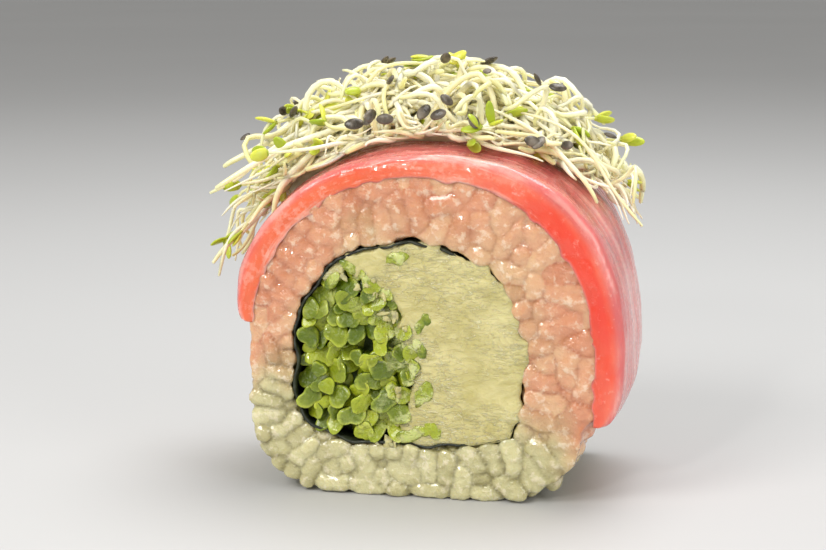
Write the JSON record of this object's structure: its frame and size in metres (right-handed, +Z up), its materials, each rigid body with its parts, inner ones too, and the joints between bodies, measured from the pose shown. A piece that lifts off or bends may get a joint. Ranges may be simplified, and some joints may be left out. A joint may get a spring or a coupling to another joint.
{
  "type": "uramaki roll slice",
  "caption": "Slice of an inside-out sushi roll: rice round seaweed, soft cheese and green stalks, with raw tuna and a heap of sprouts on top.",
  "frame": {"origin": "centre of the flat foot of rice that the slice stands on", "axes": "+Z up, from the foot to the sprouts. The roll's axis lies along Y, and the cut face towards -Y is the one in the picture. +X to the right of that face, which is the cheese's side."},
  "size_m": [0.0531, 0.0314, 0.0526],
  "materials": {
    "rice": "moist cooked short-grain rice: translucent greenish-white grains with a soft wet gloss",
    "nori": "thin crinkled seaweed sheet, nearly black with a green cast, damp",
    "cream_cheese": "pale yellow soft cheese, matte, with fine knife-drag ridges",
    "green_stalks": "fresh green stalk ends, wet and glossy, paler at their rims",
    "tuna": "raw tuna, pinkish red and translucent, with pale lines along it and a wet gloss",
    "sprouts": "translucent cream-white stems with yellow-green seed leaves and dark brown hulls"
  },
  "bodies": {
    "root": {"rice": "rice", "nori": "nori", "cream_cheese": "cream_cheese", "green_stalks": "green_stalks", "tuna_slice": "tuna", "sprouts": "sprouts"}
  },
  "joints": []
}
